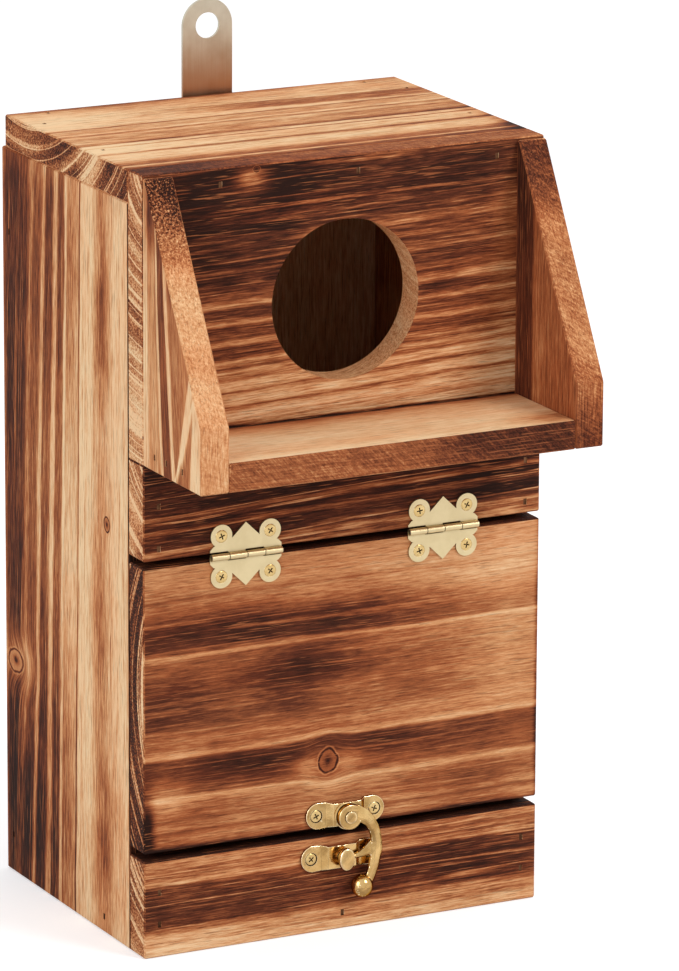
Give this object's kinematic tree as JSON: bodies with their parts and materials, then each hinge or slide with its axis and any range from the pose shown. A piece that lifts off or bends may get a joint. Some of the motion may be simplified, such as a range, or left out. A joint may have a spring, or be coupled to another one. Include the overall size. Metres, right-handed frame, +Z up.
{
  "type": "nest box",
  "caption": "Flamed wooden nest box with a round entrance hole over a bracketed porch ledge, a top-hinged clean-out flap with a hook latch, and a hanging strap at the back.",
  "frame": {"origin": "centre of the box's underside, halfway between its side faces and halfway between its front and back faces", "axes": "+X to the right seen from the front, +Y towards the back, +Z up; the entrance faces -Y"},
  "size_m": [0.158, 0.1671, 0.32],
  "materials": {
    "left_side_panel_wood": "flamed softwood with open grain",
    "right_side_panel_wood": "flamed softwood with open grain",
    "back_panel_wood": "flamed softwood with open grain",
    "floor_board_wood": "flamed softwood with open grain",
    "roof_board_wood": "flamed softwood with open grain",
    "upper_front_board_wood": "flamed softwood with open grain",
    "hinge_rail_wood": "flamed softwood with open grain",
    "bottom_rail_wood": "flamed softwood with open grain",
    "door_flap_wood": "flamed softwood with open grain",
    "left_porch_bracket_wood": "flamed softwood with open grain",
    "right_porch_bracket_wood": "flamed softwood with open grain",
    "porch_ledge_wood": "flamed softwood with open grain",
    "nail_steel": "dull steel",
    "hinge_brass": "satin brass plating",
    "pin_steel": "satin",
    "hinge_screw_brass": "satin brass",
    "latch_brass": "cast and tumbled brass",
    "latch_screw_brass": "satin brass",
    "strap_steel": "brushed, slightly tinted",
    "strap_screw_steel": "satin"
  },
  "bodies": {
    "box": {"left_side_panel": "left_side_panel_wood", "right_side_panel": "right_side_panel_wood", "back_panel": "back_panel_wood", "floor_board": "floor_board_wood", "roof_board": "roof_board_wood", "upper_front_board": "upper_front_board_wood", "hinge_rail": "hinge_rail_wood", "bottom_rail": "bottom_rail_wood", "left_porch_bracket": "left_porch_bracket_wood", "right_porch_bracket": "right_porch_bracket_wood", "porch_ledge": "porch_ledge_wood", "front_board_nails": "nail_steel", "hinge_rail_nails": "nail_steel", "bottom_rail_nails": "nail_steel", "roof_nails": "nail_steel", "left_side_nails": "nail_steel", "right_side_nails": "nail_steel", "back_panel_nails": "nail_steel", "left_ledge_nails": "nail_steel", "right_ledge_nails": "nail_steel", "bracket_nails": "nail_steel", "left_hinge_rail_leaf": "hinge_brass", "right_hinge_rail_leaf": "hinge_brass", "left_hinge_pin": "pin_steel", "right_hinge_pin": "pin_steel", "hinge_rail_screws": "hinge_screw_brass", "catch_plate": "latch_brass", "catch_stud": "latch_brass", "catch_plate_screws": "latch_screw_brass", "hanger_strap": "strap_steel", "hanger_screws": "strap_screw_steel"},
    "door": {"door_flap": "door_flap_wood", "left_hinge_door_leaf": "hinge_brass", "right_hinge_door_leaf": "hinge_brass", "hinge_door_screws": "hinge_screw_brass", "latch_plate": "latch_brass", "latch_plate_screws": "latch_screw_brass", "latch_rivet": "latch_brass"},
    "latch_arm": {"latch_arm": "latch_brass"}
  },
  "joints": [
    {"name": "door_hinge", "type": "hinge", "parent": "box", "child": "door", "pos_m": [0, -0.06025, 0.14525], "axis": [-1, 0, 0], "range_deg": [0, 120]},
    {"name": "latch_swing", "type": "hinge", "parent": "door", "child": "latch_arm", "pos_m": [0.0008, -0.059, 0.0431], "axis": [0, -1, 0], "range_deg": [0, 100]}
  ]
}
